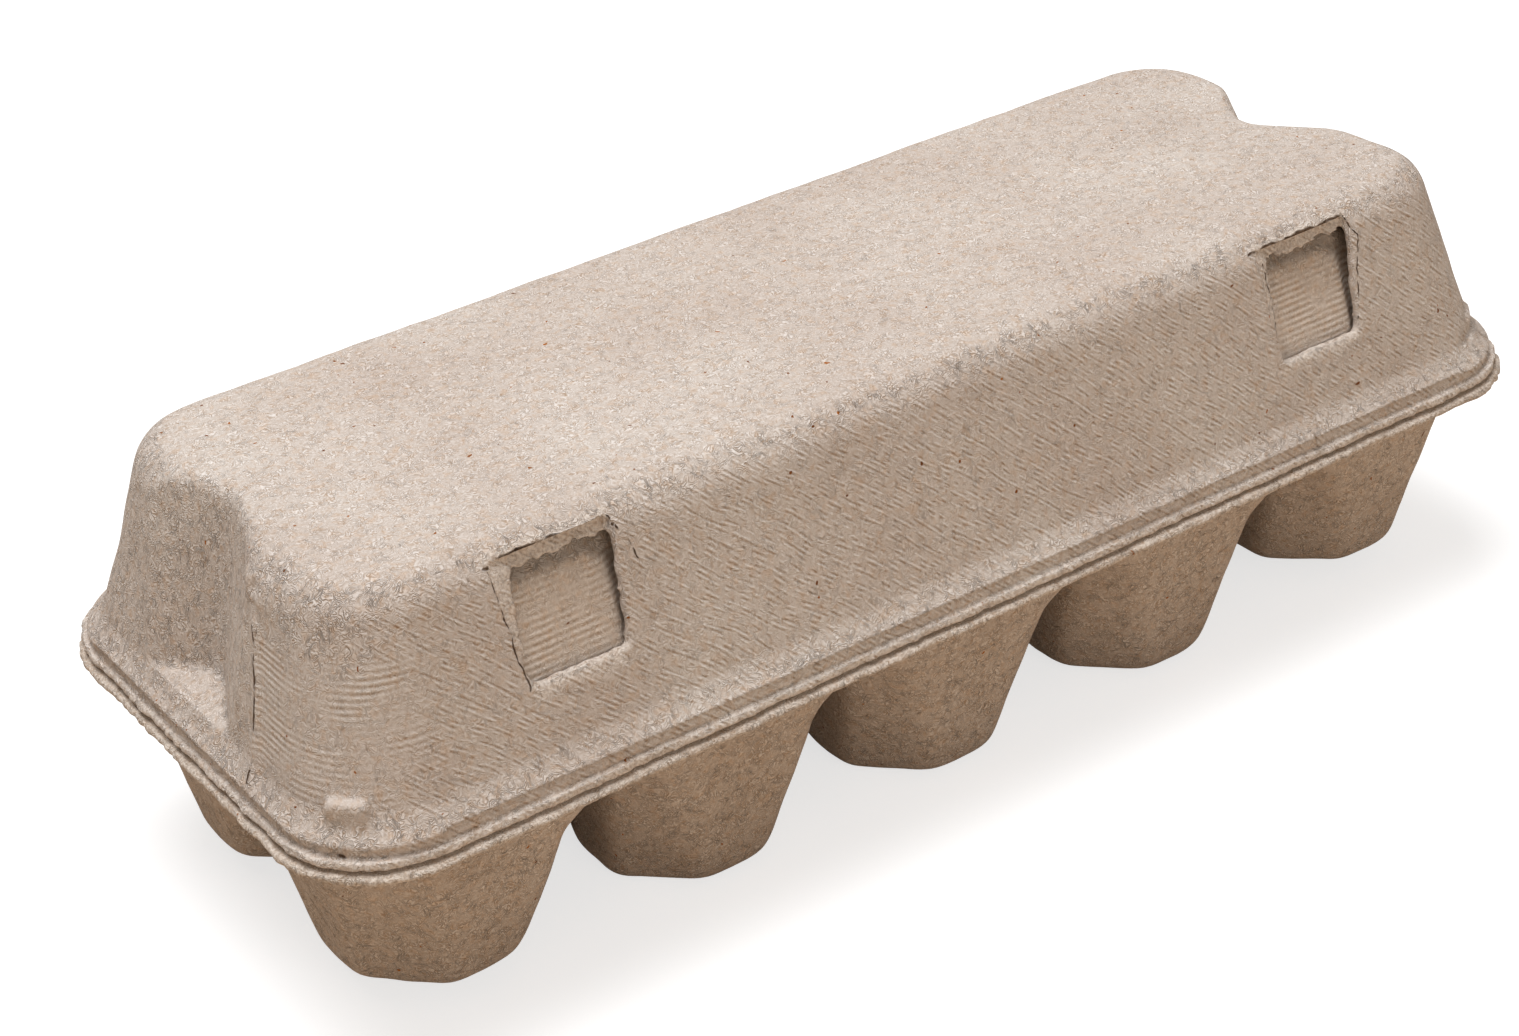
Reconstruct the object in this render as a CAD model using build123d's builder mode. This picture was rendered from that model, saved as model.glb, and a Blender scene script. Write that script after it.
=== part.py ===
from build123d import *
import math
import os

# Ten-egg carton of moulded pulp, standing closed on the feet of its middle cups.
# Millimetres. The origin is the middle of the carton on the surface it stands on,
# +X runs along its length and -Y is the front, the side with the latch windows.

# The pulp wall, the same in every part of the carton
pulp = 1.7
overrun = 3.0

# The egg cells: two rows of tapered cups
columns = 5
cell_pitch = 48.0
row_spacing = 48.0
foot_draw_in = 2.7
foot_half = 16.8
waist_half = 21.5
mouth_half = 24.7
free_mouth_half = 22.7
free_top_half = 23.3
foot_facet = 11.4
waist_facet = 8.0
web_facet = 2.4
post_facet = 7.0
corner_facet = 12.5
foot_chamfer = 2.4
inner_foot_chamfer = 1.5
end_foot_lift = 3.2
waist_drop = 10.8
mouth_drop = 3.8

# The tray flange, whose top face meets the lid
seam_height = 39.8
flange_past_end_cells = 6.45
flange_past_side_cells = 5.2
tray_corner_radius = 20.2

# The hollow posts between the cups, which keep the eggs apart
post_rise = 16.2
post_top_reach = 5.6

# The lid walls and top, drawn in from the flange
end_flange_width = 3.25
side_flange_width = 3.15
foot_corner_step = 2.0
lid_end_draw = 9.5
lid_side_draw = 10.9
lid_top_radius = 15.2
carton_height = 79.5
lid_edge_radius = 7.5
lid_inner_edge_radius = 6.0

# The latch flap that stands inside the front of the lid
flap_foot_gap = 0.75
flap_top_gap = 3.76
flap_drop = 6.0
flap_end_gap = 17.7
flap_corner_radius = 9.0
knob_inset = 19.3
knob_width = 21.0
knob_drop = 2.0
knob_height = 18.5
knob_depth = 1.4
knob_corner_radius = 4.0
knob_rim_bevel = 0.8

# The kerb round the foot of the lid, and its flange
kerb_out = 0.8
kerb_side_rise = 3.6
kerb_shoulder_rise = 7.2
kerb_edge_radius = 1.2
lid_flange_step = 1.0

# The scooped recess in each end of the lid, the left one shallower than the right
recess_centre_y = 2.6
recess_half_top = 19.0
recess_half_foot = 13.5
recess_deep_half = 2.0
left_recess_depth = 5.5
right_recess_depth = 10.5
recess_deep_radius = 5.0
recess_ledge_rise = 9.2
recess_ledge_foot_rise = 7.2
recess_edge_radius = 3.0

# The two latch windows in the front of the lid
window_drop = 2.6
window_height = 19.9
window_top_half = 11.1
window_foot_half = 9.0
window_corner_radius = 1.5
window_reach = 16.0

# The lugs at the front corners of the lid
lug_width = 7.0
lug_rise = 9.7
lug_reach = 2.0
lug_angle = 42.0
lug_edge_radius = 0.8

# Places and sizes that follow from the ones above
facet_inset_share = 2.0 - math.sqrt(2.0)
diagonal_share = math.sqrt(0.5)
foot_row_spacing = row_spacing - 2 * foot_draw_in
waist_height = seam_height - waist_drop
mouth_height = seam_height - mouth_drop
flange_underside = seam_height - pulp
tray_length = columns * cell_pitch + 2 * flange_past_end_cells
tray_width = 2 * row_spacing + 2 * flange_past_side_cells
post_height = seam_height + post_rise
lid_foot_length = tray_length - 2 * end_flange_width
lid_foot_width = tray_width - 2 * side_flange_width
lid_foot_radius = tray_corner_radius - foot_corner_step
lid_rise = carton_height - seam_height
lid_lean_x = lid_end_draw / lid_rise
lid_lean_y = lid_side_draw / lid_rise
kerb_side_top = seam_height + kerb_side_rise
kerb_shoulder_top = seam_height + kerb_shoulder_rise
recess_ledge_height = seam_height + recess_ledge_rise
recess_ledge_foot = seam_height + recess_ledge_foot_rise
ledge_rim_height = recess_ledge_height + recess_edge_radius
window_top = carton_height - window_drop
window_foot = window_top - window_height
lug_top = seam_height + lug_rise
flap_top = carton_height - flap_drop
flap_rise = flap_top - seam_height
flap_foot_y = -(lid_foot_width / 2 - pulp - flap_foot_gap)
flap_top_y = -(lid_foot_width / 2 - lid_lean_y * flap_rise - pulp - flap_top_gap)
flap_lean = math.degrees(math.atan2(flap_top_y - flap_foot_y, flap_rise))
flap_length = lid_foot_length - 2 * lid_end_draw - 2 * flap_end_gap
flap_plane = Plane((0, flap_foot_y, seam_height)).rotated((90 - flap_lean, 0, 0))
knob_top = flap_top - knob_drop
knob_bottom = knob_top - knob_height
window_x = flap_length / 2 - knob_inset
column_xs = [(index - (columns - 1) / 2) * cell_pitch for index in range(columns)]
rising_view = Plane(origin=(0, 0, 0), x_dir=(1, 1, 0), z_dir=(1, -1, 0))
falling_view = Plane(origin=(0, 0, 0), x_dir=(1, -1, 0), z_dir=(-1, -1, 0))


def flat_sided_form(profiles, heights):
    """The solid that upright profiles share, each drawn as seen in its own view."""
    with BuildPart() as form:
        for index, (view, lows, highs) in enumerate(profiles):
            with BuildSketch(view):
                with BuildLine():
                    Polyline(*zip(lows, heights), *reversed(list(zip(highs, heights))), close=True)
                make_face()
            extrude(amount=tray_length, both=True, mode=Mode.INTERSECT if index else Mode.ADD)
    return form.part


def mouth_facets(column, row):
    """Corner cuts of one cup under the flange: beside a post, a web or the carton's corner."""
    facets = []
    for sign_x, sign_y in [(-1, -1), (1, -1), (1, 1), (-1, 1)]:
        at_end = (sign_x < 0 and column == 0) or (sign_x > 0 and column == columns - 1)
        outside = sign_y == row
        if at_end and outside:
            facets.append(corner_facet)
        elif at_end or outside:
            facets.append(web_facet)
        else:
            facets.append(post_facet)
    return facets


def cup_form(column, row, inset, top):
    """One tapered eight-sided cup, flared towards its neighbours, or its hollow."""
    foot_height = (end_foot_lift if column in (0, columns - 1) else 0) + inset
    mouth_cuts = mouth_facets(column, row)
    waist_cuts = [max(waist_facet, cut) for cut in mouth_cuts]
    waist_y = (foot_row_spacing + (row_spacing - foot_row_spacing) * waist_height / seam_height) / 2
    stages = [
        (foot_height, foot_row_spacing / 2, foot_half, foot_half, [foot_facet] * 4),
        (waist_height, waist_y, waist_half, waist_half, waist_cuts),
        (mouth_height, row_spacing / 2, mouth_half, free_mouth_half, mouth_cuts),
        (seam_height, row_spacing / 2, mouth_half, free_top_half, mouth_cuts),
    ]
    if top > seam_height:
        stages.append((top, row_spacing / 2, mouth_half, free_top_half, mouth_cuts))
    sides, front_backs, rising, falling = [], [], [], []
    for height, offset_y, half, free_half, facets in stages:
        low_x = column_xs[column] - (free_half if column == 0 else half) + inset
        high_x = column_xs[column] + (free_half if column == columns - 1 else half) - inset
        low_y = row * offset_y - (free_half if row < 0 else half) + inset
        high_y = row * offset_y + (free_half if row > 0 else half) - inset
        front_left, front_right, back_right, back_left = [cut - inset * facet_inset_share for cut in facets]
        sides.append((low_x, high_x))
        front_backs.append((low_y, high_y))
        rising.append((diagonal_share * (low_x + low_y + front_left),
                       diagonal_share * (high_x + high_y - back_right)))
        falling.append((diagonal_share * (low_x - high_y + back_left),
                        diagonal_share * (high_x - low_y - front_right)))
    views = [Plane.XZ, Plane.YZ, rising_view, falling_view]
    profiles = [(view, *zip(*pairs)) for view, pairs in zip(views, (sides, front_backs, rising, falling))]
    with BuildPart() as cup:
        add(flat_sided_form(profiles, [height for height, *_ in stages]))
        foot = cup.faces().sort_by(Axis.Z)[0]
        chamfer(foot.edges(), inner_foot_chamfer if inset else foot_chamfer)
    return cup.part


def post_form(centre_x, inset, foot):
    """One tapered diamond post between four cups, or the hollow under it."""
    web_half = cell_pitch / 2 - mouth_half + pulp
    foot_reach = 2 * web_half + post_facet - pulp * facet_inset_share
    middle = diagonal_share * centre_x
    halves = [diagonal_share * reach - inset for reach in (foot_reach, foot_reach, post_top_reach)]
    lows = [middle - half for half in halves]
    highs = [middle + half for half in halves]
    return flat_sided_form([(rising_view, lows, highs), (falling_view, lows, highs)],
                           (foot, seam_height, post_height - inset))


def flap_form():
    """The latch flap, a leaning sheet with two rounded upper corners."""
    rise = flap_rise / math.cos(math.radians(flap_lean))
    with BuildPart() as flap:
        with BuildSketch(flap_plane) as outline:
            with Locations((0, rise / 2)):
                Rectangle(flap_length, rise)
            fillet(outline.vertices().group_by(Axis.Y)[-1], flap_corner_radius)
        extrude(amount=-pulp)
    return flap.part


def knob_form(centre_x):
    """One raised knob on the flap, with a bevelled rim, which fills a latch window."""
    foot = (knob_bottom - seam_height) / math.cos(math.radians(flap_lean))
    rise = (knob_top - knob_bottom) / math.cos(math.radians(flap_lean))
    with BuildPart() as knob:
        with BuildSketch(flap_plane.offset(-pulp / 2)):
            with Locations((centre_x, foot + rise / 2)):
                RectangleRounded(knob_width, rise, knob_corner_radius)
        extrude(amount=pulp / 2 + knob_depth)
        face = knob.faces().filter_by(flap_plane).sort_by(Axis.Y)[0]
        chamfer(face.edges(), knob_rim_bevel)
    return knob.part


def lid_outline(height, inset):
    """Length, width and corner radius of the lid's walls at a height."""
    rise = height - seam_height
    length = lid_foot_length - 2 * lid_lean_x * rise
    width = lid_foot_width - 2 * lid_lean_y * rise
    radius = lid_foot_radius + (lid_top_radius - lid_foot_radius) * rise / lid_rise
    return length - 2 * inset, width - 2 * inset, radius - inset


def wall_form(inset):
    """The lid's leaning walls and flat top, with the long rounded edge between them."""
    with BuildPart() as walls:
        for height in (seam_height, carton_height - inset):
            with BuildSketch(Plane.XY.offset(height)):
                RectangleRounded(*lid_outline(height, inset))
        loft(ruled=True)
        top = walls.faces().sort_by(Axis.Z)[-1]
        fillet(top.edges(), lid_inner_edge_radius if inset else lid_edge_radius)
    return walls.part


def kerb_form(inset):
    """The kerb round the foot of the lid, with its sloping shoulder."""
    foot = seam_height - (overrun if inset else 0)
    foot_size = lid_outline(seam_height, inset - kerb_out)
    shoulder_size = lid_outline(kerb_shoulder_top - inset, inset)
    with BuildPart() as kerb:
        for height, outline in ((foot, foot_size), (kerb_side_top - inset, foot_size),
                                (kerb_shoulder_top - inset, shoulder_size)):
            with BuildSketch(Plane.XY.offset(height)):
                RectangleRounded(*outline)
        loft(ruled=True)
        if not inset:
            rim = kerb.edges().filter_by_position(Axis.Z, kerb_side_top, kerb_side_top)
            fillet(rim, kerb_edge_radius)
    return kerb.part


def recess_form(side, inset):
    """The space scooped out of one end of the lid, down to its sloping ledge."""
    recess_depth = right_recess_depth if side > 0 else left_recess_depth
    with BuildPart() as recess:
        for height, half in ((seam_height, recess_half_foot), (carton_height, recess_half_top)):
            wall_x = lid_outline(height, 0)[0] / 2
            deep_x = wall_x - recess_depth - inset
            flank = (half - recess_deep_half) / recess_depth
            deep_half = recess_deep_half + inset * (math.hypot(1, flank) - flank)
            outer_x = wall_x + overrun
            outer_half = deep_half + flank * (outer_x - deep_x)
            with BuildSketch(Plane.XY.offset(height)) as section:
                with BuildLine():
                    Polyline((side * outer_x, recess_centre_y - outer_half),
                             (side * deep_x, recess_centre_y - deep_half),
                             (side * deep_x, recess_centre_y + deep_half),
                             (side * outer_x, recess_centre_y + outer_half), close=True)
                make_face()
                deep = section.vertices().sort_by(Axis.X)
                fillet(deep[:2] if side > 0 else deep[2:], recess_deep_radius + inset)
        loft(ruled=True)
        fall = math.degrees(math.atan2(recess_ledge_height - recess_ledge_foot, recess_depth))
        ledge_x = side * (lid_outline(recess_ledge_foot, 0)[0] / 2)
        ledge = Plane((ledge_x, 0, recess_ledge_foot - inset)).rotated((0, side * fall, 0))
        split(bisect_by=ledge, keep=Keep.TOP)
    return recess.part


def lid_form(inset):
    """The whole lid as one solid block, or the hollow inside it."""
    with BuildPart() as form:
        add(wall_form(inset))
        walls = form.edges()
        for side in (-1, 1):
            add(recess_form(side, inset), mode=Mode.SUBTRACT)
        rims = (form.edges() - walls).filter_by(lambda edge: edge.bounding_box().max.Z > ledge_rim_height)
        fillet(rims, recess_edge_radius)
        add(kerb_form(inset))
    return form.part


def window_form(centre_x):
    """One latch window, wider at its top, as a block through the front wall."""
    with BuildPart() as window:
        with BuildSketch(Plane.XZ.offset(lid_foot_width / 2)) as section:
            with BuildLine():
                Polyline((centre_x - window_foot_half, window_foot),
                         (centre_x + window_foot_half, window_foot),
                         (centre_x + window_top_half, window_top),
                         (centre_x - window_top_half, window_top), close=True)
            make_face()
            fillet(section.vertices(), window_corner_radius)
        extrude(amount=-window_reach)
    return window.part


def lug_form(side):
    """The small square lug on one front corner of the lid's kerb."""
    length, width, radius = lid_outline(lug_top, 0)
    angle = math.radians(lug_angle)
    out_x = length / 2 - radius + radius * math.cos(angle)
    out_y = width / 2 - radius + radius * math.sin(angle)
    heading = math.degrees(math.atan2(-out_y + width / 2 - radius, side * (out_x - length / 2 + radius)))
    place = Plane((side * out_x, -out_y, seam_height)).rotated((0, 0, heading))
    with BuildPart() as lug:
        with BuildSketch(place):
            Rectangle(2 * lug_reach, lug_width)
        extrude(amount=lug_top - seam_height)
        fillet(lug.edges().filter_by(Axis.Z), lug_edge_radius)
        fillet(lug.faces().sort_by(Axis.Z)[-1].edges(), lug_edge_radius)
    return lug.part


# The tray: cups, posts, flange and latch flap, moulded in one
cups = [(column, row) for column in range(columns) for row in (-1, 1)]
post_xs = [(left + right) / 2 for left, right in zip(column_xs, column_xs[1:])]

with BuildPart() as tray:
    with BuildSketch(Plane.XY.offset(flange_underside)):
        RectangleRounded(tray_length, tray_width, tray_corner_radius)
    extrude(amount=pulp)
    add([cup_form(column, row, 0, seam_height) for column, row in cups])
    add([post_form(centre_x, 0, flange_underside) for centre_x in post_xs])
    add([cup_form(column, row, pulp, seam_height + overrun) for column, row in cups], mode=Mode.SUBTRACT)
    add([post_form(centre_x, pulp, flange_underside - overrun) for centre_x in post_xs],
        mode=Mode.SUBTRACT)
    add(flap_form())
    add([knob_form(side * window_x) for side in (-1, 1)])
tray.part.label = "tray"

# The lid: walls, kerb, flange and corner lugs in one, with the latch windows cut through
with BuildPart() as lid:
    with BuildSketch(Plane.XY.offset(seam_height)):
        with Locations((0, lid_flange_step / 2)):
            RectangleRounded(tray_length - 2 * lid_flange_step, tray_width - lid_flange_step,
                             tray_corner_radius - lid_flange_step)
    extrude(amount=pulp)
    add(lid_form(0))
    for side in (-1, 1):
        add(lug_form(side))
    add(lid_form(pulp), mode=Mode.SUBTRACT)
    for side in (-1, 1):
        add(window_form(side * window_x), mode=Mode.SUBTRACT)
lid.part.label = "lid"

os.makedirs("parts", exist_ok=True)
for piece in (tray, lid):
    export_step(piece.part, f"parts/{piece.part.label}.step")
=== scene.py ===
import math

import bmesh
import bpy
import numpy as np
from mathutils import Matrix, Vector, noise


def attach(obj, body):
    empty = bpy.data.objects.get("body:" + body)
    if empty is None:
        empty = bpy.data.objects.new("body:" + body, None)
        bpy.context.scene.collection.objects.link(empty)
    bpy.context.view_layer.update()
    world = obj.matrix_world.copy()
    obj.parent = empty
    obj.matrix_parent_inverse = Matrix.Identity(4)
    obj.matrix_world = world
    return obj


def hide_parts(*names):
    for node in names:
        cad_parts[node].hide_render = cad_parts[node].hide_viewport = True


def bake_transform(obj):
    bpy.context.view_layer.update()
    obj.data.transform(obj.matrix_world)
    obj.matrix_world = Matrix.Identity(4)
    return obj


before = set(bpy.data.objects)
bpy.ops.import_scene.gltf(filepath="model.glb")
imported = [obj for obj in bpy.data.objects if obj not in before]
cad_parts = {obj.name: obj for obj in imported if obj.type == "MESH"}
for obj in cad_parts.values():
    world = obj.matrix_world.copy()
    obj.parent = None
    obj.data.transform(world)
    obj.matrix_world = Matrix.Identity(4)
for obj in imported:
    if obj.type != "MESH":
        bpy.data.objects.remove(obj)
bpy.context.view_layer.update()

# The tray: ten cups, four posts, the flange and the latch flap in one sheet of paper pulp.
# Wet pulp is sucked on to a wire-covered former and dried, so every corner comes out soft,
# the walls are slightly uneven and the trimmed flange keeps a torn, thready edge.
mm = 0.001
tray_length, tray_width, tray_corner = 252.9, 106.4, 20.2
flange_foot, seam = 38.1, 39.8
weld_gap = 0.01
tray_voxel = 0.75
most_triangles = 190000
bite_length, thread_length = 7.0, 1.8
edge_bite = 0.8
cup_soft, flange_firm = 34.5, 37.2
flap_front, flap_foot = -28, seam + 0.4
tray_soft_rounds = 30
cups_left = 0.7
tray_edge_droop = 0.4
tray_wave, tray_ripple = 0.36, 0.12
knob_x, knob_half = 76.7, 13.5


def node_copy(name, node):
    """A piece with the shape of one moulding, free to be worked on."""
    piece = bpy.data.objects.new(name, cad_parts[node].data.copy())
    piece.data.materials.clear()
    bpy.context.scene.collection.objects.link(piece)
    return piece


def applied(piece, kind, **settings):
    """Runs one modifier on a piece and keeps what it makes."""
    modifier = piece.modifiers.new(kind.title(), kind)
    for setting, value in settings.items():
        setattr(modifier, setting, value)
    bpy.context.view_layer.update()
    shaped = piece.evaluated_get(bpy.context.evaluated_depsgraph_get())
    made = bpy.data.meshes.new_from_object(shaped)
    piece.modifiers.clear()
    piece.data = made


def points_of(mesh):
    """The mesh's points in millimetres."""
    flat = np.empty(len(mesh.vertices) * 3, np.float32)
    mesh.vertices.foreach_get("co", flat)
    return flat.reshape(-1, 3).astype(float) / mm


def normals_of(mesh):
    """The direction that each point of the mesh faces."""
    flat = np.empty(len(mesh.vertices) * 3, np.float32)
    mesh.vertices.foreach_get("normal", flat)
    return flat.reshape(-1, 3).astype(float)


def set_points(mesh, points):
    """Puts the mesh's points back, from millimetres."""
    mesh.vertices.foreach_set("co", (points * mm).astype(np.float32).ravel())
    mesh.update()


def ramp(value, low, high):
    """0 at low, 1 at high and smooth between them."""
    share = np.clip((value - low) / (high - low), 0, 1)
    return share * share * (3 - 2 * share)


def soften(mesh, points, share, rounds):
    """Wears sharp folds down to the soft ones that wet pulp takes."""
    ends = np.empty(len(mesh.edges) * 2, np.int32)
    mesh.edges.foreach_get("vertices", ends)
    a, b = ends[::2], ends[1::2]
    count = len(points)
    around = np.maximum(np.bincount(a, minlength=count) + np.bincount(b, minlength=count), 1)
    points = points.copy()
    for _ in range(rounds):
        total = np.stack([np.bincount(a, points[b, k], count) + np.bincount(b, points[a, k], count)
                          for k in range(3)], 1)
        points += (share * 0.5)[:, None] * (total / around[:, None] - points)
    return points


def lumps(points, size, seed):
    """Smooth unevenness from -1 to 1, with lumps of about the given size in millimetres."""
    shift = Vector((seed * 17.3, seed * 5.1, seed * 9.7))
    return np.array([noise.noise(Vector(p) / size + shift) for p in points])


def inside_outline(points, length, width, radius, centre_y=0.0):
    """How far each point is inside a rounded rectangle, and the direction out of it."""
    x, y = points[:, 0], points[:, 1] - centre_y
    over_x, over_y = np.abs(x) - (length / 2 - radius), np.abs(y) - (width / 2 - radius)
    corner = np.hypot(np.maximum(over_x, 0), np.maximum(over_y, 0))
    depth = radius - corner - np.minimum(np.maximum(over_x, over_y), 0)
    out = np.stack([np.maximum(over_x, 0) * np.sign(x),
                    np.maximum(over_y, 0) * np.sign(y), 0 * x], 1)
    flat = corner < 1e-9
    out[flat, 0] = np.where(over_x > over_y, np.sign(x), 0)[flat]
    out[flat, 1] = np.where(over_x > over_y, 0, np.sign(y))[flat]
    return depth, out / np.maximum(np.linalg.norm(out, axis=1), 1e-9)[:, None]


def torn_edge(points, depth, out, most, seed):
    """Nibbles a trimmed flange back unevenly, in long bites with short threads on them."""
    bites = 0.5 + 0.5 * lumps(points * (1, 1, 0.3), bite_length, seed)
    bites = bites + 0.45 * lumps(points, thread_length, seed + 1)
    return -out * (np.clip(bites, 0, 1) * most * (1 - ramp(depth, 0, 3.0)))[:, None]


def thinned(piece):
    """Brings a piece under the triangle limit, keeping its folds and edges."""
    faces = sum(len(face.vertices) - 2 for face in piece.data.polygons)
    if faces > most_triangles:
        applied(piece, "DECIMATE", ratio=most_triangles / faces)


def mark(mesh, name, values):
    """Keeps one number for each point of the mesh, for its material to read."""
    made = mesh.attributes.new(name, "FLOAT", "POINT")
    made.data.foreach_set("value", values.astype(np.float32))


tray = node_copy("tray_pulp_shell", "tray")
applied(tray, "WELD", merge_threshold=weld_gap * mm)
applied(tray, "REMESH", mode="VOXEL", voxel_size=tray_voxel * mm)
spots = points_of(tray.data)
x, y, z = spots.T
depth, out = inside_outline(spots, tray_length, tray_width, tray_corner)
# The folds of cups and posts are worn most, the flap's a little, the flange's hardly at all
flap_side = (y < flap_front) & (z > flap_foot)
share = np.where(z < seam, 1 - ramp(z, cup_soft, flange_firm), 0.7)
share = np.where(flap_side, 0.12, share)
share = np.where((z > 37) & (z < seam + 0.8), 0.03, share)
spots = soften(tray.data, spots, share, tray_soft_rounds)
# The cups dried a little to the left of the flange, all but those at the right end
spots[:, 0] -= cups_left * (1 - ramp(z, 28, 37)) * (1 - ramp(x, 60, 90))
set_points(tray.data, spots)
on_flange = (z > flange_foot - 0.6) & (z < seam + 0.6) & (depth < 3.2)
spots += np.where(on_flange[:, None], torn_edge(spots, depth, out, edge_bite, 3), 0)
near_seam = (z > seam - 0.9) * (z < seam + 0.3)
spots[:, 2] -= tray_edge_droop * (1 - ramp(depth, 0.8, 3.0)) * near_seam
uneven = tray_wave * lumps(spots, 15, 1) + tray_ripple * lumps(spots, 4.5, 2)
uneven *= np.where(z < 1.2, 0, np.where(z > 37, 0.35, 1))
spots += normals_of(tray.data) * uneven[:, None]
set_points(tray.data, spots)
thinned(tray)
spots = points_of(tray.data)
depth, out = inside_outline(spots, tray_length, tray_width, tray_corner)
mark(tray.data, "torn", (1 - ramp(depth, 0.9, 2.0)) * (np.abs(spots[:, 2] - 39) < 1.6))
# Painted light: the knob faces are marked to be coloured paler, as if more light reached them
on_knob = np.abs(np.abs(spots[:, 0]) - knob_x) < knob_half
mark(tray.data, "knob_light", (spots[:, 1] < -30) * (spots[:, 2] > 50) * on_knob)


def linear(hexcode):
    """The scene's own colour for an sRGB hex colour."""
    parts = [int(hexcode[i:i + 2], 16) / 255 for i in (1, 3, 5)]
    return [p / 12.92 if p <= 0.04045 else ((p + 0.055) / 1.055) ** 2.4 for p in parts] + [1.0]


def add(tree, kind, settings, links=()):
    """Adds one node, with its settings and its links."""
    node = tree.nodes.new("ShaderNode" + kind)
    for name, value in settings.items():
        if isinstance(name, int) or name in node.inputs:
            node.inputs[name].default_value = value
        else:
            setattr(node, name, value)
    for name, source in dict(links).items():
        tree.links.new(source, node.inputs[name])
    return node


# Spacings and heights on the pulp in millimetres, the colours of what lies in it, and the tints of
# painted shade and painted light
dash_pitch, dash_slant = 0.85, math.radians(41)
rib_pitch = 1.05
fibre_height, grain_height, slit_depth = 0.08, 0.1, 0.35
bark_orange, bark_brown = "#A8662C", "#6B4126"
ochre_blot, brown_fibre = "#BE9C7B", "#8F7358"
bare_thread, crease_shade = "#EADFD3", "#5A4534"
# Painted shade on the relief: how much darker and browner a groove is painted
groove_shade_tint = (0.27, 0.34, 0.41)
# Painted light: how much paler the knobs are painted
knob_light_tint = (1.3, 1.34, 1.4)


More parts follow.
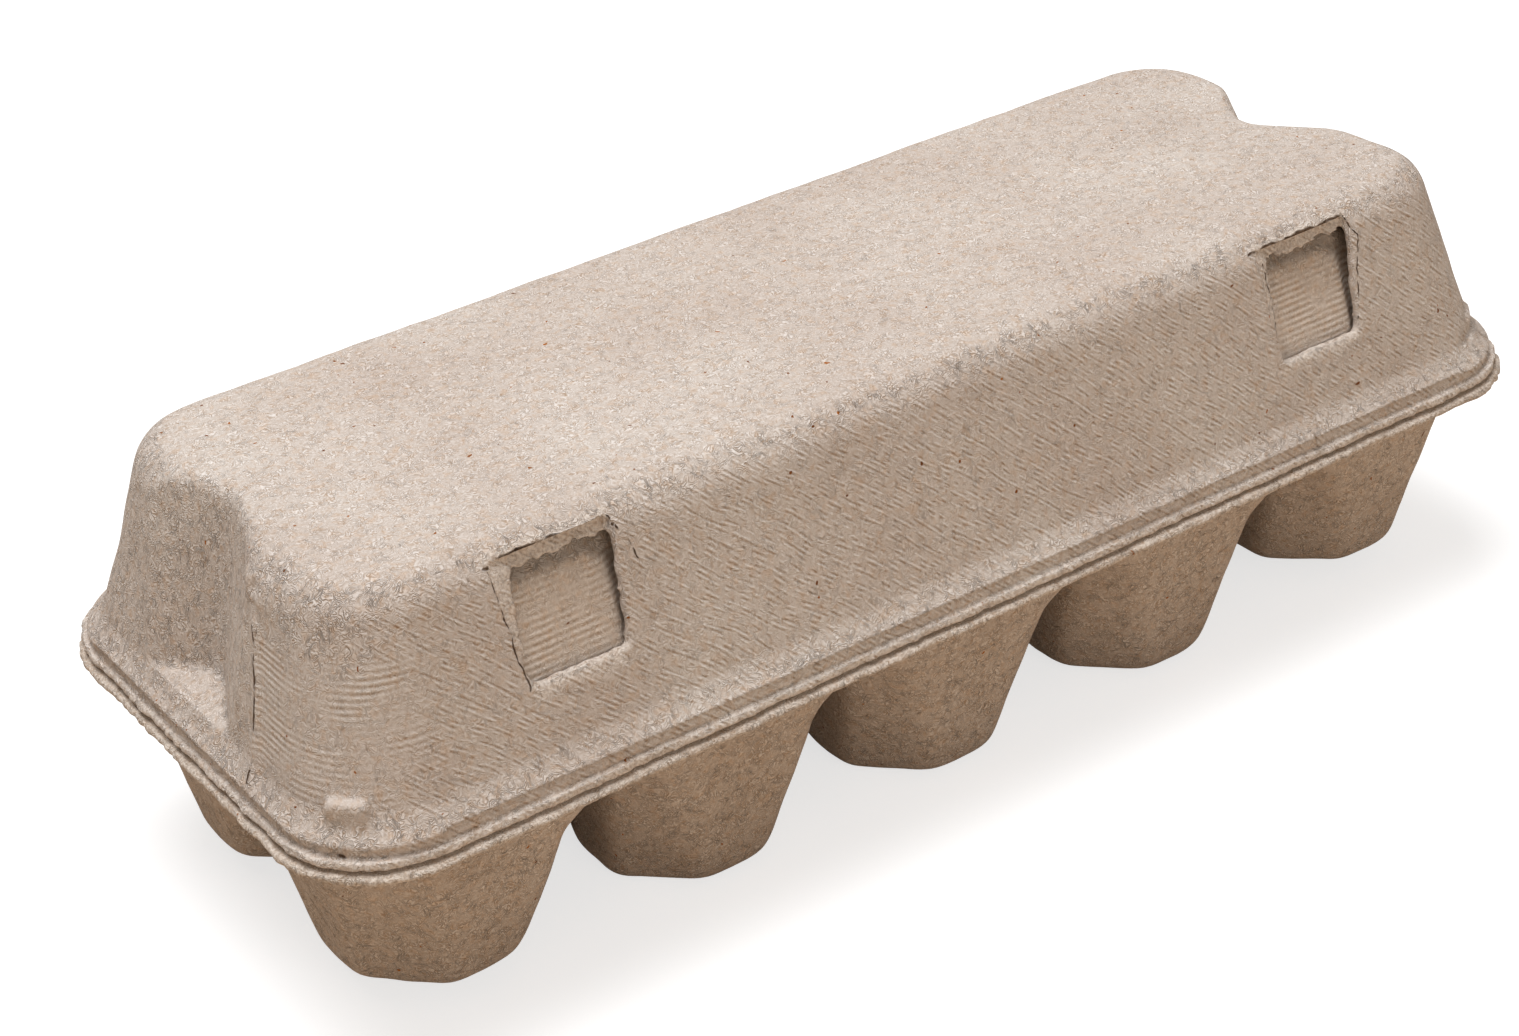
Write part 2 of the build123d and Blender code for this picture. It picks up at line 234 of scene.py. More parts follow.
def moulded_pulp(name, pale, deep, seed, weave=0.0, relief=1.0,
                 wire_centre=(0, 0, 500), wire_half=(1, 1, 1), slits=()):
    """Dried moulded paper pulp: dull, with curled fibres, wire marks, specks of bark and slits,
    with painted shade in its grooves and slits and painted light on its ridges and knobs.

    It works in millimetres, so each noise's scale is the number of its lumps in a millimetre.
    """
    material = bpy.data.materials.new(name)
    material.use_nodes = True
    tree = material.node_tree
    tree.nodes.clear()
    coords = add(tree, "TexCoord", {}).outputs
    spot = add(tree, "VectorMath", {"operation": "SCALE", "Scale": 1 / mm},
               {0: coords["Object"]}).outputs[0]
    shifted = add(tree, "VectorMath", {"operation": "ADD", 1: (seed, 0, 0)}, {0: spot}).outputs[0]
    facing = add(tree, "SeparateXYZ", {}, {0: coords["Normal"]}).outputs
    patch = add(tree, "TexNoise", {"Scale": 0.13, "Detail": 3.0}, {"Vector": shifted}).outputs[0]
    # Short curled fibres, ridges about 0.7 mm apart
    swirl = add(tree, "TexNoise", {"Scale": 0.35, "Detail": 2.0},
                {"Vector": shifted}).outputs["Color"]
    centred = add(tree, "VectorMath", {"operation": "SUBTRACT", 1: (0.5, 0.5, 0.5)},
                  {0: swirl}).outputs[0]
    carried = add(tree, "VectorMath", {"operation": "SCALE", "Scale": 2.8}, {0: centred}).outputs[0]
    curled = add(tree, "VectorMath", {"operation": "ADD"}, {0: shifted, 1: carried}).outputs[0]
    field = add(tree, "TexNoise", {"Scale": 0.62, "Detail": 1.0}, {"Vector": curled}).outputs[0]
    phase = add(tree, "Math", {"operation": "MULTIPLY", 1: 72.0}, {0: field}).outputs[0]
    curls = add(tree, "Math", {"operation": "SINE"}, {0: phase}).outputs[0]
    broken = add(tree, "TexNoise", {"Scale": 0.55, "Detail": 2.0}, {"Vector": shifted}).outputs[0]
    broken = add(tree, "MapRange", {"From Min": 0.4, "From Max": 0.6,
                                    "To Min": 0.35, "To Max": 1.0},
                 {"Value": broken}).outputs[0]
    curls = add(tree, "Math", {"operation": "MULTIPLY"}, {0: curls, 1: broken}).outputs[0]
    # On the lid's front wall most ridges are short straight dashes that slope down to the right
    dash_way = (math.cos(dash_slant), 0, -math.sin(dash_slant))
    dash_step = (math.sin(dash_slant), 0, math.cos(dash_slant))
    along = add(tree, "VectorMath", {"operation": "DOT_PRODUCT", 1: dash_way},
                {0: shifted}).outputs["Value"]
    across = add(tree, "VectorMath", {"operation": "DOT_PRODUCT", 1: dash_step},
                 {0: shifted}).outputs["Value"]
    drift = add(tree, "TexNoise", {"Scale": 0.1, "Detail": 0.0}, {"Vector": shifted}).outputs[0]
    drifted = add(tree, "Math", {"operation": "MULTIPLY_ADD", 1: 1.8},
                  {0: drift, 2: across}).outputs[0]
    phase = add(tree, "Math", {"operation": "MULTIPLY", 1: 2 * math.pi / dash_pitch},
                {0: drifted}).outputs[0]
    dashes = add(tree, "Math", {"operation": "SINE"}, {0: phase}).outputs[0]
    run = add(tree, "Math", {"operation": "MULTIPLY", 1: 0.5}, {0: along}).outputs[0]
    flat = add(tree, "CombineXYZ", {}, {0: run, 1: across}).outputs[0]
    lengths = add(tree, "TexNoise", {"Scale": 0.9, "Detail": 1.0}, {"Vector": flat}).outputs[0]
    lengths = add(tree, "MapRange", {"From Min": 0.46, "From Max": 0.62,
                                     "To Min": 0.0, "To Max": 1.0},
                  {"Value": lengths}).outputs[0]
    dashes = add(tree, "Math", {"operation": "MULTIPLY"}, {0: dashes, 1: lengths}).outputs[0]
    dashes = add(tree, "Math", {"operation": "MULTIPLY_ADD", 1: 0.5},
                 {0: curls, 2: dashes}).outputs[0]
    front = add(tree, "MapRange", {"From Min": -0.9, "From Max": -0.62,
                                   "To Min": weave, "To Max": 0.0},
                {"Value": facing[1]}).outputs[0]
    ridges = add(tree, "Mix", {"data_type": "FLOAT"}, {0: front, 2: curls, 3: dashes}).outputs[0]
    # The former's wire shows as level ribs where the sheet was pressed on it hardest
    away = add(tree, "VectorMath", {"operation": "SUBTRACT", 1: wire_centre}, {0: spot}).outputs[0]
    away = add(tree, "VectorMath", {"operation": "ABSOLUTE"}, {0: away}).outputs[0]
    away = add(tree, "VectorMath", {"operation": "SUBTRACT", 1: wire_half}, {0: away}).outputs[0]
    sides = add(tree, "SeparateXYZ", {}, {0: away}).outputs
    away = add(tree, "Math", {"operation": "MAXIMUM"}, {0: sides[0], 1: sides[1]}).outputs[0]
    away = add(tree, "Math", {"operation": "MAXIMUM"}, {0: away, 1: sides[2]}).outputs[0]
    wired = add(tree, "MapRange", {"From Min": -2.0, "From Max": 3.0,
                                   "To Min": 0.85, "To Max": 0.0},
                {"Value": away}).outputs[0]
    height_up = add(tree, "SeparateXYZ", {}, {0: spot}).outputs[2]
    sway = add(tree, "Math", {"operation": "MULTIPLY_ADD", 1: 0.5},
               {0: patch, 2: height_up}).outputs[0]
    turn = add(tree, "Math", {"operation": "MULTIPLY", 1: 2 * math.pi / rib_pitch},
               {0: sway}).outputs[0]
    ribs = add(tree, "Math", {"operation": "SINE"}, {0: turn}).outputs[0]
    pressed = add(tree, "MapRange", {"From Min": 0.4, "From Max": 0.62,
                                     "To Min": 0.1, "To Max": 0.9},
                  {"Value": patch}).outputs[0]
    ribs = add(tree, "Math", {"operation": "MULTIPLY"}, {0: ribs, 1: pressed}).outputs[0]
    ribs = add(tree, "Math", {"operation": "MULTIPLY_ADD", 1: 0.4}, {0: curls, 2: ribs}).outputs[0]
    ridges = add(tree, "Mix", {"data_type": "FLOAT"}, {0: wired, 2: ridges, 3: ribs}).outputs[0]
    # The top was pressed flatter than the walls, so its fibres stand up less
    depth = add(tree, "MapRange", {"From Min": 0.8, "From Max": 0.97,
                                   "To Min": relief, "To Max": 0.4 * relief},
                {"Value": facing[2]}).outputs[0]
    raised = add(tree, "Math", {"operation": "MULTIPLY"}, {0: ridges, 1: depth}).outputs[0]
    grain = add(tree, "TexNoise", {"Scale": 1.9, "Detail": 3.0}, {"Vector": shifted}).outputs[0]
    # Long single fibres that lie on the surface
    hair_field = add(tree, "TexNoise", {"Scale": 0.3, "Detail": 0.0, "Distortion": 1.2},
                     {"Vector": shifted}).outputs[0]
    hair_off = add(tree, "Math", {"operation": "SUBTRACT", 1: 0.5}, {0: hair_field}).outputs[0]
    hair_near = add(tree, "Math", {"operation": "ABSOLUTE"}, {0: hair_off}).outputs[0]
    hair_line = add(tree, "MapRange", {"From Min": 0.0, "From Max": 0.012,
                                       "To Min": 1.0, "To Max": 0.0},
                    {"Value": hair_near}).outputs[0]
    hair_where = add(tree, "MapRange", {"From Min": 0.55, "From Max": 0.62,
                                        "To Min": 0.0, "To Max": 0.7},
                     {"Value": grain}).outputs[0]
    hair = add(tree, "Math", {"operation": "MULTIPLY"}, {0: hair_line, 1: hair_where}).outputs[0]
    # Bark specks of 0.2 to 0.6 mm, one in every two square centimetres or so, orange to brown
    cell = add(tree, "TexVoronoi", {"Scale": 0.42}, {"Vector": curled})
    near = add(tree, "Math", {"operation": "LESS_THAN", 1: 0.12},
               {0: cell.outputs["Distance"]}).outputs[0]
    parts = add(tree, "SeparateColor", {}, {0: cell.outputs["Color"]}).outputs
    few = add(tree, "Math", {"operation": "GREATER_THAN", 1: 0.9}, {0: parts[0]}).outputs[0]
    bark = add(tree, "Math", {"operation": "MULTIPLY"}, {0: near, 1: few}).outputs[0]
    bark_tone = add(tree, "Mix", {"data_type": "RGBA", 6: linear(bark_orange),
                                  7: linear(bark_brown)},
                    {0: parts[1]}).outputs[2]
    # Clouds of paler and deeper pulp, and small ochre blots where fibres kept their colour
    cloud = add(tree, "TexNoise", {"Scale": 0.035, "Detail": 4.0}, {"Vector": shifted}).outputs[0]
    tone = add(tree, "MapRange", {"From Min": 0.3, "From Max": 0.7, "To Min": 0.0, "To Max": 1.0},
               {"Value": cloud}).outputs[0]
    body = add(tree, "Mix", {"data_type": "RGBA", 6: linear(deep), 7: linear(pale)},
               {0: tone}).outputs[2]
    blot = add(tree, "TexNoise", {"Scale": 0.75, "Detail": 3.0, "Distortion": 0.6},
               {"Vector": curled}).outputs[0]
    blot = add(tree, "MapRange", {"From Min": 0.5, "From Max": 0.72, "To Min": 0.0, "To Max": 0.45},
               {"Value": blot}).outputs[0]
    body = add(tree, "Mix", {"data_type": "RGBA", 7: linear(ochre_blot)},
               {0: blot, 6: body}).outputs[2]
    # Painted shade and light: grooves are painted darker and browner where shade falls in them,
    # ridges paler where light falls on them
    shade_relief = add(tree, "Math", {"operation": "MULTIPLY_ADD", 1: 1.8},
                {0: grain, 2: ridges}).outputs[0]
    shade_relief = add(tree, "Math", {"operation": "SUBTRACT", 1: 0.9}, {0: shade_relief}).outputs[0]
    relief_shade_tint = add(tree, "VectorMath", {"operation": "SCALE", 0: groove_shade_tint},
               {"Scale": shade_relief}).outputs[0]
    relief_shade_tint = add(tree, "VectorMath", {"operation": "ADD", 1: (1, 1, 1)}, {0: relief_shade_tint}).outputs[0]
    relief_shaded = add(tree, "VectorMath", {"operation": "MULTIPLY"}, {0: body, 1: relief_shade_tint}).outputs[0]
    haired = add(tree, "Mix", {"data_type": "RGBA", 7: linear(brown_fibre)},
                 {0: hair, 6: relief_shaded}).outputs[2]
    flecked = add(tree, "Mix", {"data_type": "RGBA"}, {0: bark, 6: haired, 7: bark_tone}).outputs[2]
    # Torn edges show bare threads, and the knobs get painted light: a paler colour standing in for
    # light that the lid's wall keeps off them
    torn = add(tree, "Attribute", {"attribute_name": "torn"}).outputs["Fac"]
    threads = add(tree, "MapRange", {"From Min": 0.42, "From Max": 0.6,
                                     "To Min": 0.05, "To Max": 0.6},
                  {"Value": grain}).outputs[0]
    torn_share = add(tree, "Math", {"operation": "MULTIPLY"}, {0: torn, 1: threads}).outputs[0]
    coloured = add(tree, "Mix", {"data_type": "RGBA", 7: linear(bare_thread)},
                   {0: torn_share, 6: flecked}).outputs[2]
    knob_light = add(tree, "Attribute", {"attribute_name": "knob_light"}).outputs["Fac"]
    knob_light = add(tree, "Math", {"operation": "MULTIPLY", 1: 0.5}, {0: knob_light}).outputs[0]
    paler = add(tree, "VectorMath", {"operation": "MULTIPLY", 1: knob_light_tint},
                {0: coloured}).outputs[0]
    coloured = add(tree, "Mix", {"data_type": "RGBA"},
                   {0: knob_light, 6: coloured, 7: paler}).outputs[2]
    # A ridge stands fibre_height above the sheet, and a groove as far below it
    height = add(tree, "Math", {"operation": "MULTIPLY", 1: fibre_height}, {0: raised}).outputs[0]
    height = add(tree, "Math", {"operation": "MULTIPLY_ADD", 1: grain_height},
                 {0: grain, 2: height}).outputs[0]
    # Creases and slits where the damp sheet has folded or parted, each cut in as a shallow groove
    # and given painted shade, a dark brown where shade falls in it
    wander = add(tree, "VectorMath", {"operation": "SCALE", "Scale": 1.6}, {0: centred}).outputs[0]
    wandered = add(tree, "VectorMath", {"operation": "ADD"}, {0: spot, 1: wander}).outputs[0]
    for start, end, width in slits:
        run = Vector(end) - Vector(start)
        from_start = add(tree, "VectorMath", {"operation": "SUBTRACT", 1: start},
                         {0: wandered}).outputs[0]
        along = add(tree, "VectorMath", {"operation": "DOT_PRODUCT", 1: run / run.length_squared},
                    {0: from_start}).outputs["Value"]
        along = add(tree, "Clamp", {}, {"Value": along}).outputs[0]
        foot = add(tree, "VectorMath", {"operation": "SCALE", 0: run}, {"Scale": along}).outputs[0]
        gap = add(tree, "VectorMath", {"operation": "DISTANCE"},
                  {0: from_start, 1: foot}).outputs["Value"]
        slit_and_shade = add(tree, "MapRange", {"From Min": 0.35 * width, "From Max": width,
                                        "To Min": 1.0, "To Max": 0.0},
                     {"Value": gap}).outputs[0]
        # Painted shade: the slit is coloured dark brown where shade would fall in it
        coloured = add(tree, "Mix", {"data_type": "RGBA", 7: linear(crease_shade)},
                       {0: slit_and_shade, 6: coloured}).outputs[2]
        height = add(tree, "Math", {"operation": "MULTIPLY_ADD", 1: -slit_depth},
                     {0: slit_and_shade, 2: height}).outputs[0]
    bump = add(tree, "Bump", {"Strength": 1.0, "Distance": mm}, {"Height": height}).outputs[0]
    # Dry cellulose has an index near 1.47 and next to no gloss
    skin = add(tree, "BsdfPrincipled", {"Roughness": 0.92, "IOR": 1.47, "Specular IOR Level": 0.25},
               {"Base Color": coloured, "Normal": bump})
    add(tree, "OutputMaterial", {}, {"Surface": skin.outputs[0]})
    return material


def dressed(piece, material):
    """Gives a piece its material and smooth shading."""
    piece.data.materials.append(material)
    for face in piece.data.polygons:
        face.use_smooth = True


tray_pale, tray_deep = "#C6B7A9", "#B9A898"
dressed(tray, moulded_pulp("moulded_paper_pulp_tray", tray_pale, tray_deep, 40.0, relief=0.8,
                           wire_centre=(0, -42, 62), wire_half=(94, 12, 8)))
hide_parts("tray")
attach(tray, "tray")

# The lid: the same pulp, drawn over a former with a scoop in each end. The two latch windows
# are punched through the damp wall, which turns ragged lips of pulp in round each opening,
# and the kerb round its foot keeps the flange from curling.
lid_outline = (tray_length - 2, tray_width - 1, tray_corner - 1, 0.5)
wall_foot_half, wall_lean, wall_top = 50.05, 0.27456, 73.98
arc_y, arc_z, arc_radius = -33.43, 72.0, 7.5
window_x, window_foot, window_top = knob_x, 57.0, 76.9
window_foot_half, window_top_half = 9.0, 11.1
lip_sheet, lip_behind_skin = 0.85, 0.55
lip_steps = 26
left_window_flap, right_window_flap = 4.6, 3.4
lid_voxel = 0.5
lid_soft_rounds = 9
kerb_height, kerb_bead_half = 43.7, 0.9
end_sag, back_sag, left_drawn_in = 1.7, 0.7, 1.2
pillar = [(-117.2, -18.3, 68.7), (-119.9, -20.2, 57.0), (-122.4, -21.6, 44.7)]
pillar_fold, pillar_fold_half = 0.9, 1.1
pillar_head, head_reach = (-114.0, -17.5, 73.0), 5.0
lug_middle_x, lug_middle_y, lug_foot_radius = 103.6, -29.9, 17.7
lug_to_right, lug_to_front, lug_pressed = 0.743, 0.669, 0.75
lid_edge_curl = 0.35
lid_wave, lid_ripple = 0.24, 0.1
lid_crown = 79.5


def front_skin(height):
    """How far forward the outside of the lid's front wall is at a height."""
    if height > wall_top:
        return arc_y - math.sqrt(arc_radius ** 2 - (height - arc_z) ** 2)
    return -(wall_foot_half - wall_lean * (height - seam))


def lip(name, stations):
    """One turned-in lip: a thin closed strip from the wall's cut edge to its own torn edge."""
    sheet = bmesh.new()
    rings = []
    for (ax, az), (bx, bz), start, sunk in stations:
        near = front_skin(az) + lip_behind_skin + start
        far = front_skin(bz) + lip_behind_skin + sunk
        ring = [(ax, near - lip_sheet / 2, az), (bx, far - lip_sheet / 2, bz),
                (bx, far + lip_sheet / 2, bz), (ax, near + lip_sheet / 2, az)]
        rings.append([sheet.verts.new(Vector(p) * mm) for p in ring])
    for first, second in zip(rings, rings[1:]):
        for k in range(4):
            sheet.faces.new((first[k], first[(k + 1) % 4], second[(k + 1) % 4], second[k]))
    sheet.faces.new(rings[0][::-1])
    sheet.faces.new(rings[-1])
    bmesh.ops.recalc_face_normals(sheet, faces=sheet.faces)
    mesh = bpy.data.meshes.new(name)
    sheet.to_mesh(mesh)
    sheet.free()
    strip = bpy.data.objects.new(name, mesh)
    bpy.context.scene.collection.objects.link(strip)
    return strip


def window_edge(centre, side, share):
    """A point on the left or right edge of a window's cut, from its foot to its top."""
    half = window_foot_half + (window_top_half - window_foot_half) * share
    return centre + side * half, window_foot + (window_top - window_foot) * share


lid = node_copy("lid_pulp_shell", "lid")
lips = []
windows = ((-window_x, left_window_flap), (window_x, right_window_flap))
for index, (centre, flap) in enumerate(windows):
    top, foot, left, right = [], [], [], []
    at_left, at_right = window_edge(centre, -1, 1), window_edge(centre, 1, 1)
    for step in range(lip_steps + 1):
        share = step / lip_steps
        rag = noise.noise(Vector((share * 13, index * 7.0, 1.5)))
        rag += 0.5 * noise.noise(Vector((share * 37, index * 7.0, 4.5)))
        across = at_left[0] + (at_right[0] - at_left[0]) * share
        top.append(((across, window_top + 0.9), (across, window_top - 2.7 - rag), 0.9, 1.7))
        across = centre - window_foot_half + 2 * window_foot_half * share
        foot.append(((across, window_foot - 0.9), (across, window_foot + 0.1 + 0.5 * rag),
                     0.1, 0.6))
        edge_x, edge_z = window_edge(centre, -1, share)
        torn_x = edge_x + 0.35 + flap * share ** 1.3 + 0.5 * rag
        left.append(((edge_x - 0.9, edge_z), (torn_x, edge_z), 0.1, 0.3 + 1.2 * share))
        edge_x, edge_z = window_edge(centre, 1, share)
        right.append(((edge_x + 0.9, edge_z), (edge_x - 0.1 - 0.5 * rag, edge_z), 0.2, 0.8))
    for name, stations in (("top", top), ("foot", foot), ("left", left), ("right", right)):
        lips.append(lip(f"lip_{name}_{index}", stations))
with bpy.context.temp_override(active_object=lid, object=lid,
                               selected_editable_objects=[lid, *lips]):
    bpy.ops.object.join()
applied(lid, "WELD", merge_threshold=weld_gap * mm)
applied(lid, "REMESH", mode="VOXEL", voxel_size=lid_voxel * mm)
spots = points_of(lid.data)
x, y, z = spots.T
depth, out = inside_outline(spots, *lid_outline)
# Walls and top have worn folds, and those of windows, recesses and kerb stay crisp
by_window = (y < -30) & (np.abs(np.abs(x) - window_x) < 14.5) & (z > 53)
share = ramp(z, 47.5, 52)
by_recess = (np.abs(x) > 92) & (np.abs(y - 2.6) < 25) & (z > 46)
share = np.where(by_window, 0.0, np.where(by_recess, 0.15 * share, np.maximum(share, 0.03)))
spots = soften(lid.data, spots, share, lid_soft_rounds)
kerb_bead = 0.5 * np.exp(-((z - kerb_height) / kerb_bead_half) ** 2) * (depth < 6) * (depth > 1.6)
spots += out * kerb_bead[:, None]
# The right end has sagged round its scoop, the long back edge is lower than the front one,
# and the back half of the left end is drawn in
spots[:, 2] -= end_sag * ramp(x, 72, 106) * np.exp(-((y - 8) / 24) ** 2) * ramp(z, 60, 79)
spots[:, 2] -= back_sag * ramp(y, 12, 34) * ramp(z, 60, 79)
spots[:, 0] += left_drawn_in * (1 - ramp(x, -116, -96)) * ramp(y, 12, 30) * ramp(z, 47, 60)
# The left scoop's front pillar is pinched into a sharp fold, with a wrinkled lump at its head
from_pillar = np.full(len(spots), np.inf)
for start, end in zip(pillar, pillar[1:]):
    run = np.subtract(end, start)
    along = np.clip((spots - start) @ run / (run @ run), 0, 1)
    off_line = spots - start - along[:, None] * run
    from_pillar = np.minimum(from_pillar, np.linalg.norm(off_line, axis=1))
set_points(lid.data, spots)
ridge = pillar_fold * np.exp(-(from_pillar / pillar_fold_half) ** 2)
spots += normals_of(lid.data) * ridge[:, None]
near_head = np.exp(-(np.linalg.norm(spots - pillar_head, axis=1) / head_reach) ** 2)
spots += normals_of(lid.data) * (near_head * (0.5 + 0.9 * lumps(spots, 2.4, 12)))[:, None]
# The right front corner's lug was pressed almost flat
lug_out = np.hypot(spots[:, 0] - lug_middle_x, spots[:, 1] - lug_middle_y) - lug_foot_radius
on_lug = (spots[:, 2] > 46.3) & (spots[:, 2] < 50.5) & (spots[:, 0] > 110)
on_lug &= (spots[:, 1] < -35) & (lug_out > 0)
spots[:, 0] -= np.where(on_lug, lug_pressed * lug_out * lug_to_right, 0)
spots[:, 1] += np.where(on_lug, lug_pressed * lug_out * lug_to_front, 0)
set_points(lid.data, spots)
on_flange = (z < 42.2) & (depth < 3.0)
spots += np.where(on_flange[:, None], torn_edge(spots, depth, out, edge_bite, 9), 0)
spots[:, 2] += lid_edge_curl * (1 - ramp(depth, 0.6, 2.6)) * (z < seam + 0.9)
uneven = lid_wave * lumps(spots, 20, 5) + lid_ripple * lumps(spots, 5, 6)
uneven *= np.where(z < 41, 0.3, np.where(z > 79, 0.3, np.where(by_window, 0.5, 1)))
spots += normals_of(lid.data) * uneven[:, None]
spots[:, 2] = np.minimum(spots[:, 2], lid_crown)
set_points(lid.data, spots)
thinned(lid)
spots = points_of(lid.data)
depth, out = inside_outline(spots, *lid_outline)
shares = np.clip((spots[:, 2] - window_foot) / (window_top - window_foot), 0, 1)
halves = window_foot_half + (window_top_half - window_foot_half) * shares
on_lip = np.abs(np.abs(spots[:, 0]) - window_x) < halves - 0.2
on_lip &= (spots[:, 1] < -30) & (spots[:, 2] < 78) & (spots[:, 2] > 56)
torn_flange = (1 - ramp(depth, 0.6, 1.6)) * (spots[:, 2] < 42)
mark(lid.data, "torn", np.maximum(torn_flange, on_lip))
# Where the damp sheet folded or parted, each line with half its width in millimetres, later a
# groove with painted shade in it: the left scoop's front pillar, the left kerb, then round the left
# window and round the right one
creases = [
    (pillar, 0.34),
    ([(-123.9, -27.0, 41.6), (-122.2, -35.3, 41.6), (-118.7, -43.9, 41.6)], 0.4),
    ([(-88.1, -39.9, 76.8), (-81.9, -40.0, 76.6), (-74.9, -40.0, 76.5), (-65.8, -40.2, 75.8)],
     0.36),
    ([(-66.3, -39.9, 76.7), (-64.5, -40.6, 74.4), (-62.6, -41.9, 69.4)], 0.17),
    ([(-87.7, -40.1, 76.2), (-86.8, -41.3, 71.8), (-86.4, -43.1, 65.1), (-85.9, -45.3, 57.1)], 0.2),
    ([(65.0, -39.8, 77.2), (73.9, -39.8, 77.3), (83.3, -39.8, 77.3), (87.0, -39.7, 77.6)], 0.36),
    ([(87.0, -39.7, 77.6), (88.9, -40.8, 73.3), (85.7, -44.7, 59.2)], 0.17),
    ([(68.2, -40.4, 74.9), (68.4, -42.3, 68.2), (68.1, -44.9, 58.4)], 0.17),
]
laid = []
bpy.context.view_layer.update()
for line, width in creases:
    on_skin = [lid.closest_point_on_mesh(Vector(place) * mm)[1] / mm for place in line]
    laid += [(start, end, width) for start, end in zip(on_skin, on_skin[1:])]
lid_pale, lid_deep = "#D0C5BB", "#C4B6AB"
dressed(lid, moulded_pulp("moulded_paper_pulp_lid", lid_pale, lid_deep, 0.0, weave=1.0,
                          wire_centre=(-118, -32, 58), wire_half=(15, 13, 10), slits=laid))
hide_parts("lid")
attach(lid, "lid")

# The fold along the back: a strip of the same pulp, pressed thin, that joins the two flanges; it is
# built as one fixed strip.
# It has been creased in the mould, so it is thinner than they are.
fold_half_length = 101.0
fold_foot, fold_head = 38.5, 41.1
fold_face, fold_sheet, fold_ripple = 53.1, 0.8, 0.12
fold_pale, fold_deep = "#C4B5A7", "#B5A494"
steps_along, steps_up = 260, 8

strip = bmesh.new()
rows = []
for j in range(steps_up + 1):
    height = fold_foot + (fold_head - fold_foot) * j / steps_up
    row = []
    for i in range(steps_along + 1):
        place_x = -fold_half_length + 2 * fold_half_length * i / steps_along
        ripple = fold_ripple * (0.5 + 0.5 * noise.noise(Vector((i * 0.35, j, 2))))
        row.append(strip.verts.new(Vector((place_x, fold_face - fold_sheet - ripple, height)) * mm))
    rows.append(row)
for low, high in zip(rows, rows[1:]):
    for i in range(steps_along):
        strip.faces.new((low[i], high[i], high[i + 1], low[i + 1]))
fold_mesh = bpy.data.meshes.new("back_fold")
strip.to_mesh(fold_mesh)
strip.free()
fold = bpy.data.objects.new("back_fold", fold_mesh)
bpy.context.scene.collection.objects.link(fold)
applied(fold, "SOLIDIFY", thickness=fold_sheet * mm, offset=1.0)
dressed(fold, moulded_pulp("pressed_paper_pulp_fold", fold_pale, fold_deep, 80.0))
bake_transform(fold)

# The photograph's set: a white floor that runs to a white background, a broad cool light from
# above and a weaker warm one from the front, and the camera where the photographer stood.
# The floor looks white, but the light that it throws back on the carton is warm.
floor_half = 4
floor_corners = [(-floor_half, -floor_half, 0), (floor_half, -floor_half, 0),
                 (floor_half, floor_half, 0), (-floor_half, floor_half, 0)]
floor_bounce, floor_seen, floor_glow = "#CFB89F", "#BFBFBF", 0.7
floor_mesh = bpy.data.meshes.new("floor")
floor_mesh.from_pydata(floor_corners, [], [(0, 1, 2, 3)])
floor = bpy.data.objects.new("floor", floor_mesh)
bpy.context.scene.collection.objects.link(floor)


def looked_at(tree):
    """1 for what the camera sees, also in gloss or through a clear thing, and 0 for what lights."""
    ray = add(tree, "LightPath", {}).outputs
    seen = add(tree, "Math", {"operation": "MAXIMUM"},
               {0: ray["Is Camera Ray"], 1: ray["Is Glossy Ray"]}).outputs[0]
    return add(tree, "Math", {"operation": "MAXIMUM"},
               {0: seen, 1: ray["Is Transmission Ray"]}).outputs[0]


# Matt paper: an even surface with no gloss at all
paper = bpy.data.materials.new("matt_white_paper")
paper.use_nodes = True
paper.node_tree.nodes.clear()
matt = add(paper.node_tree, "BsdfDiffuse", {"Color": linear(floor_bounce)})
clean = add(paper.node_tree, "BsdfDiffuse", {"Color": linear(floor_seen)})
white = add(paper.node_tree, "Emission", {"Strength": floor_glow})
bright = add(paper.node_tree, "AddShader", {}, {0: clean.outputs[0], 1: white.outputs[0]})
shown = add(paper.node_tree, "MixShader", {},
            {0: looked_at(paper.node_tree), 1: matt.outputs[0], 2: bright.outputs[0]})
add(paper.node_tree, "OutputMaterial", {}, {"Surface": shown.outputs[0]})
floor_mesh.materials.append(paper)


def softbox(name, place, target, width, height, watts, relief_shade_tint):
    """One soft light, facing a point."""
    data = bpy.data.lights.new(name, "AREA")
    data.shape, data.size, data.size_y = "RECTANGLE", width, height
    data.energy, data.color = watts, relief_shade_tint
    lamp = bpy.data.objects.new(name, data)
    lamp.location = place
    lamp.rotation_euler = (Vector(target) - Vector(place)).to_track_quat("-Z", "Y").to_euler()
    bpy.context.scene.collection.objects.link(lamp)


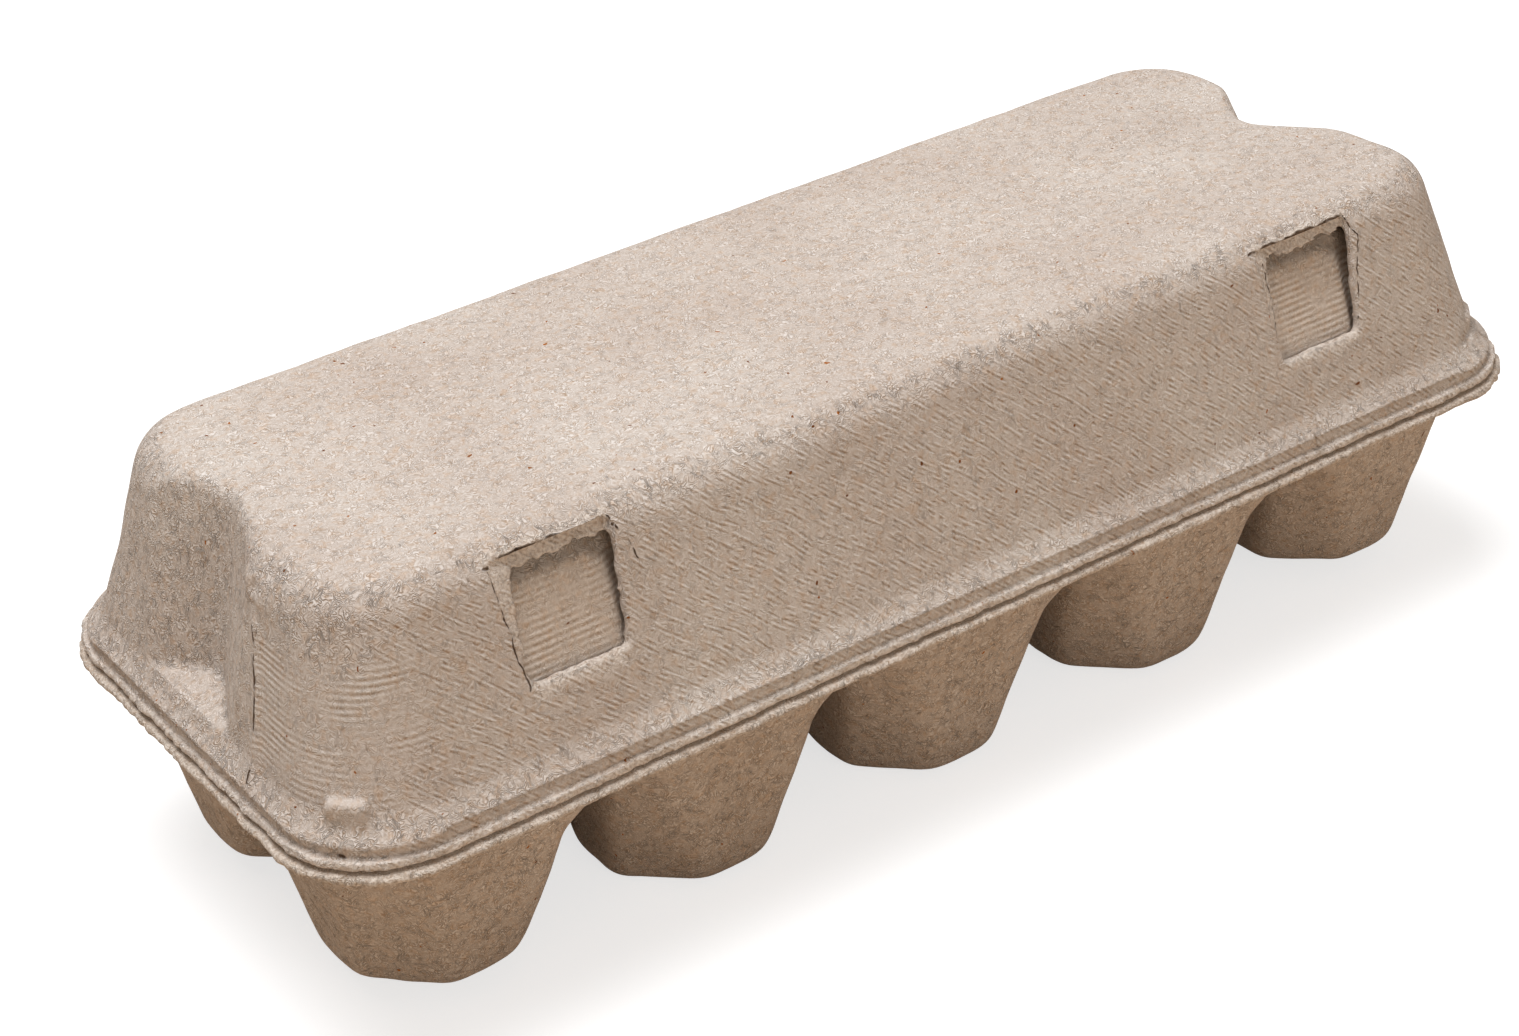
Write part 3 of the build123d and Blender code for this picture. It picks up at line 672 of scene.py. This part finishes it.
carton_middle = (0, 0, 0.05)
softbox("top_light", place=(-0.15, 0.1, 1.4), target=carton_middle, width=0.9, height=0.9,
        watts=19.8, relief_shade_tint=(0.97, 0.98, 1.0))
softbox("front_light", place=(-0.2, -1.4, 0.6), target=carton_middle, width=0.8, height=0.8,
        watts=3.9, relief_shade_tint=(1.0, 0.9, 0.8))

sky = bpy.data.worlds.new("white_background")
sky.use_nodes = True
sky.node_tree.nodes.clear()
warm_fill, fill_strength = (1.0, 0.93, 0.86, 1.0), 0.22
dim = add(sky.node_tree, "Background", {"Color": warm_fill, "Strength": fill_strength})
white = add(sky.node_tree, "Background", {"Color": (1.0, 1.0, 1.0, 1.0), "Strength": 1.0})
chosen = add(sky.node_tree, "MixShader", {},
             {0: looked_at(sky.node_tree), 1: dim.outputs[0], 2: white.outputs[0]})
add(sky.node_tree, "OutputWorld", {}, {"Surface": chosen.outputs[0]})
bpy.context.scene.world = sky

# Where the camera stands round the carton, what it aims at, and its focal length and shift in
# pixels of the photograph, all from fitting the carton's outline
azimuth, elevation, roll = math.radians(-32.7), math.radians(29.7), math.radians(-4.81)
aim, distance = Vector((-14.38, -1.93, 45.0)) * mm, 532.37 * mm
photo_width, focal_pixels, shift_pixels, sensor = 1519, 3076.77, -26.19, 36.0
back = Vector((math.sin(azimuth) * math.cos(elevation), -math.cos(azimuth) * math.cos(elevation),
               math.sin(elevation)))
level = Vector((math.cos(azimuth), math.sin(azimuth), 0))
upright = back.cross(level)
right = math.cos(roll) * level + math.sin(roll) * upright
above = -math.sin(roll) * level + math.cos(roll) * upright
camera = bpy.data.objects.new("camera", bpy.data.cameras.new("camera"))
camera.data.sensor_width, camera.data.lens = sensor, focal_pixels / photo_width * sensor
camera.data.shift_x, camera.data.shift_y = -0.0001, shift_pixels / photo_width
camera.data.clip_start, camera.data.clip_end = 0.01, 50.0
turned = Matrix((right, above, back)).transposed().to_4x4()
camera.matrix_world = Matrix.Translation(aim + back * distance) @ turned
bpy.context.scene.collection.objects.link(camera)
bpy.context.scene.camera = camera
bpy.context.scene.view_settings.view_transform = "Standard"
